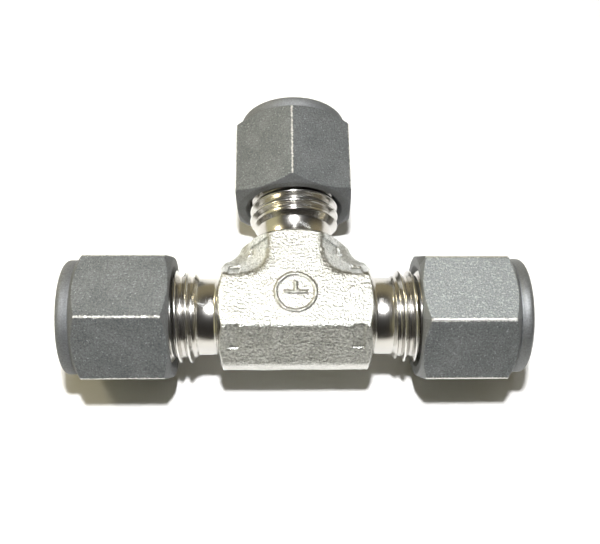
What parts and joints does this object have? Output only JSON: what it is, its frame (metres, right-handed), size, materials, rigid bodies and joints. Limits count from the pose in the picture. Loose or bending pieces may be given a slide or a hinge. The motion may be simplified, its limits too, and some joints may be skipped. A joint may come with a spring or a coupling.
{
  "type": "compression tube tee",
  "caption": "Union tee for tube: a forged body with threaded ports, each closed by a hexagon nut that presses a ferrule onto the tube.",
  "frame": {"origin": "the point where the axes of the three ports cross, inside the forged body", "axes": "+X along the run towards the right port, +Y along the branch port, +Z out of the flat face of the forging that carries the mark"},
  "size_m": [0.0542, 0.0353, 0.0164],
  "materials": {
    "forged_steel": "forged stainless steel with a fine pebbled skin, ports turned bright",
    "nut_coating": "matte dark grey dry-film coating on stainless steel, worn bright along the edges",
    "ferrule_steel": "turned stainless steel"
  },
  "bodies": {
    "tee": {"tee_body": "forged_steel"},
    "left_ferrule_body": {"left_ferrule": "ferrule_steel"},
    "left_nut_body": {"left_nut": "nut_coating"},
    "right_ferrule_body": {"right_ferrule": "ferrule_steel"},
    "right_nut_body": {"right_nut": "nut_coating"},
    "branch_ferrule_body": {"branch_ferrule": "ferrule_steel"},
    "branch_nut_body": {"branch_nut": "nut_coating"}
  },
  "joints": [
    {"name": "left_nut_advance", "type": "slide", "parent": "tee", "child": "left_ferrule_body", "axis": [-1, 0, 0], "range_m": [0, 0.00571]},
    {"name": "left_nut_turn", "type": "hinge", "parent": "left_ferrule_body", "child": "left_nut_body", "pos_m": [0, 0, 0], "axis": [-1, 0, 0], "range_deg": [0, 1620]},
    {"name": "right_nut_advance", "type": "slide", "parent": "tee", "child": "right_ferrule_body", "axis": [1, 0, 0], "range_m": [0, 0.00571]},
    {"name": "right_nut_turn", "type": "hinge", "parent": "right_ferrule_body", "child": "right_nut_body", "pos_m": [0, 0, 0], "axis": [1, 0, 0], "range_deg": [0, 1620]},
    {"name": "branch_nut_advance", "type": "slide", "parent": "tee", "child": "branch_ferrule_body", "axis": [0, 1, 0], "range_m": [0, 0.00571]},
    {"name": "branch_nut_turn", "type": "hinge", "parent": "branch_ferrule_body", "child": "branch_nut_body", "pos_m": [0, 0, 0], "axis": [0, 1, 0], "range_deg": [0, 1620]}
  ],
  "couplings": [
    {"joint": "left_nut_advance", "follows": "left_nut_turn", "m_per_rad": 0.00020213},
    {"joint": "right_nut_advance", "follows": "right_nut_turn", "m_per_rad": 0.00020213},
    {"joint": "branch_nut_advance", "follows": "branch_nut_turn", "m_per_rad": 0.00020213}
  ]
}
